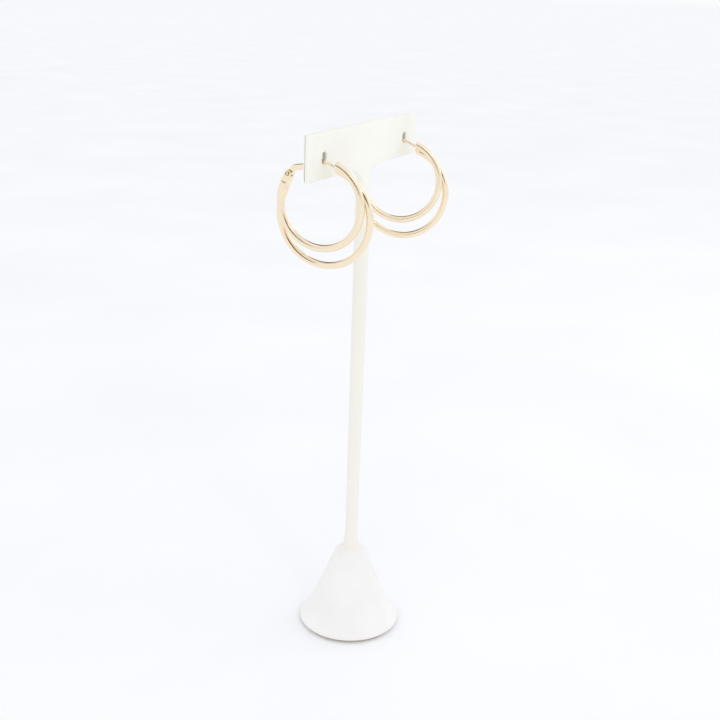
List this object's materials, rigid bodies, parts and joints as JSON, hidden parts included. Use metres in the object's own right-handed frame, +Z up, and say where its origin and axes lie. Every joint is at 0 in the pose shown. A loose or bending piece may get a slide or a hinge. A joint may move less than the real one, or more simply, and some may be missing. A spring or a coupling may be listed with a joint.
{
  "type": "pair of hoop earrings on display stand",
  "caption": "Gold double-tube hoop earrings with hinged ear wires, hanging in the holes of a plain cream T-bar display stand with a cone foot.",
  "frame": {"origin": "centre of the stand's flat underside, on the surface that it stands on", "axes": "+Z up along the stem, X along the tag that carries the earrings, -Y towards the tag's front, where the ear wires come out"},
  "size_m": [0.0718, 0.0322, 0.1624],
  "materials": {
    "leatherette": "satin",
    "pad_board": "matt",
    "gold": "polished"
  },
  "bodies": {
    "stand": {"stand_foot_pad": "pad_board", "stand_base": "leatherette", "stand_stem_and_tag": "leatherette", "left_ear_wire": "gold", "right_ear_wire": "gold"},
    "left_hoop_body": {"left_hoop": "gold", "left_hinge_pin": "gold"},
    "right_hoop_body": {"right_hoop": "gold", "right_hinge_pin": "gold"}
  },
  "joints": [
    {"name": "left_hoop_hinge", "type": "hinge", "parent": "stand", "child": "left_hoop_body", "pos_m": [-0.02708, 0.00964, 0.15065], "axis": [0.9989, 0.0192, 0.0419], "range_deg": [0, 75]},
    {"name": "right_hoop_hinge", "type": "hinge", "parent": "stand", "child": "right_hoop_body", "pos_m": [0.02486, 0.00919, 0.14952], "axis": [0.9768, 0.2076, -0.0523], "range_deg": [0, 75]}
  ]
}
